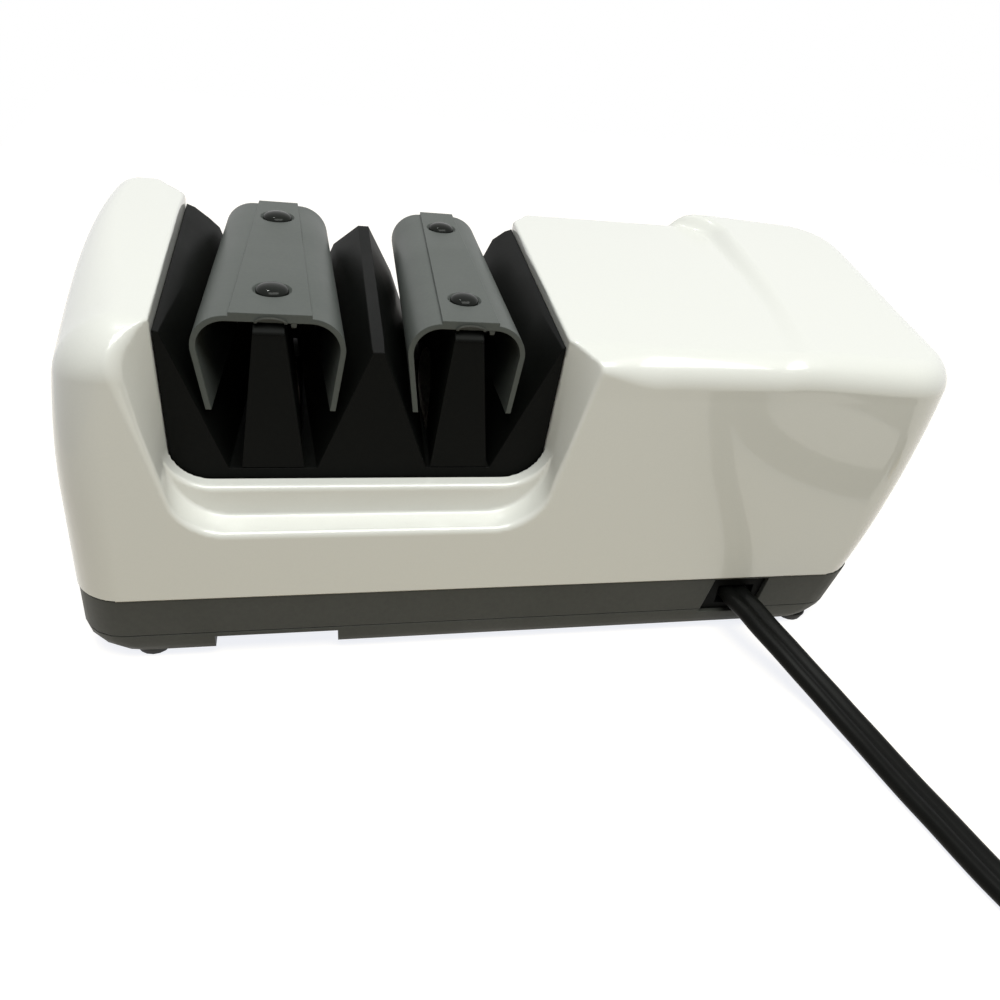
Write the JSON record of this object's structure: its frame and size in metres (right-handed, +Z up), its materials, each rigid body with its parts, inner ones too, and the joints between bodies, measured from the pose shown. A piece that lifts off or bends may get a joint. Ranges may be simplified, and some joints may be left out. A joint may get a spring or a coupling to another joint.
{
  "type": "electric knife sharpener",
  "caption": "Free-standing electric knife sharpener: white housing on a dark base, black guide with two spring-guided stages, flat cord",
  "frame": {"origin": "under the middle of the bounding box, on the surface it stands on", "axes": "+X along the length toward the motor end, +Y to the rear, +Z up"},
  "size_m": [0.3619, 0.2977, 0.1038],
  "materials": {
    "pearl_plastic": "glossy, faintly pearly",
    "charcoal_plastic": "fine matt texture",
    "black_plastic": "satin",
    "grey_plastic": "satin",
    "gloss_black": "polished",
    "foot_rubber": "matt",
    "cord_jacket": "satin",
    "steel": "turned",
    "iron": "rolled sheet",
    "bronze": "sintered",
    "plug_brass": "stamped",
    "copper_coil": "enamelled winding",
    "abrasive": "bonded grit"
  },
  "bodies": {
    "housing": {"upper_housing": "pearl_plastic", "guide_insert": "black_plastic", "guide_post_left": "black_plastic", "guide_post_right": "black_plastic", "guide_spring_left": "grey_plastic", "guide_spring_right": "grey_plastic", "base_frame": "charcoal_plastic", "bottom_cover": "charcoal_plastic", "cord_bushing": "black_plastic", "switch_body": "black_plastic", "stator_core": "iron", "field_coil": "copper_coil", "motor_bracket_left": "iron", "motor_bracket_right": "iron", "shaft_bracket": "iron", "motor_bearing_left": "bronze", "motor_bearing_right": "bronze", "shaft_bearing": "bronze", "cord": "cord_jacket", "cord_coil": "cord_jacket", "plug_body": "cord_jacket", "plug_blade_1": "plug_brass", "plug_blade_2": "plug_brass", "rivet_left_front": "gloss_black", "rivet_left_rear": "gloss_black", "rivet_right_front": "gloss_black", "rivet_right_rear": "gloss_black", "foot_front_left": "foot_rubber", "housing_screw_front_left": "steel", "foot_front_right": "foot_rubber", "housing_screw_front_right": "steel", "foot_rear_left": "foot_rubber", "housing_screw_rear_left": "steel", "foot_rear_right": "foot_rubber", "housing_screw_rear_right": "steel", "motor_screw_front": "steel", "motor_screw_rear": "steel"},
    "rotor": {"motor_shaft": "steel", "rotor_core": "iron", "cooling_fan": "grey_plastic", "disc_spring_left": "steel", "disc_spring_right": "steel"},
    "disc_left_outer": {"disc_left_outer": "abrasive"},
    "disc_left_inner": {"disc_left_inner": "abrasive"},
    "disc_right_outer": {"disc_right_outer": "abrasive"},
    "disc_right_inner": {"disc_right_inner": "abrasive"},
    "tray": {"cleanout_tray": "charcoal_plastic"},
    "rocker": {"switch_rocker": "gloss_black"}
  },
  "joints": [
    {"name": "rotor_spin", "type": "hinge", "parent": "housing", "child": "rotor", "pos_m": [0, 0, 0.045], "axis": [1, 0, 0], "continuous": true},
    {"name": "disc_left_outer_slide", "type": "slide", "parent": "rotor", "child": "disc_left_outer", "axis": [1, 0, 0], "range_m": [0, 0.0014], "stiffness_N_per_m": 900, "deforming": ["disc_spring_left"]},
    {"name": "disc_left_inner_slide", "type": "slide", "parent": "rotor", "child": "disc_left_inner", "axis": [-1, 0, 0], "range_m": [0, 0.0014], "stiffness_N_per_m": 900, "deforming": ["disc_spring_left"]},
    {"name": "disc_right_outer_slide", "type": "slide", "parent": "rotor", "child": "disc_right_outer", "axis": [1, 0, 0], "range_m": [0, 0.0014], "stiffness_N_per_m": 900, "deforming": ["disc_spring_right"]},
    {"name": "disc_right_inner_slide", "type": "slide", "parent": "rotor", "child": "disc_right_inner", "axis": [-1, 0, 0], "range_m": [0, 0.0014], "stiffness_N_per_m": 900, "deforming": ["disc_spring_right"]},
    {"name": "tray_slide", "type": "slide", "parent": "housing", "child": "tray", "axis": [0, -1, 0], "range_m": [0, 0.045]},
    {"name": "switch_rock", "type": "hinge", "parent": "housing", "child": "rocker", "pos_m": [0.081, 0.05338, 0.036], "axis": [0, 0, 1], "range_deg": [0, 12]}
  ]
}
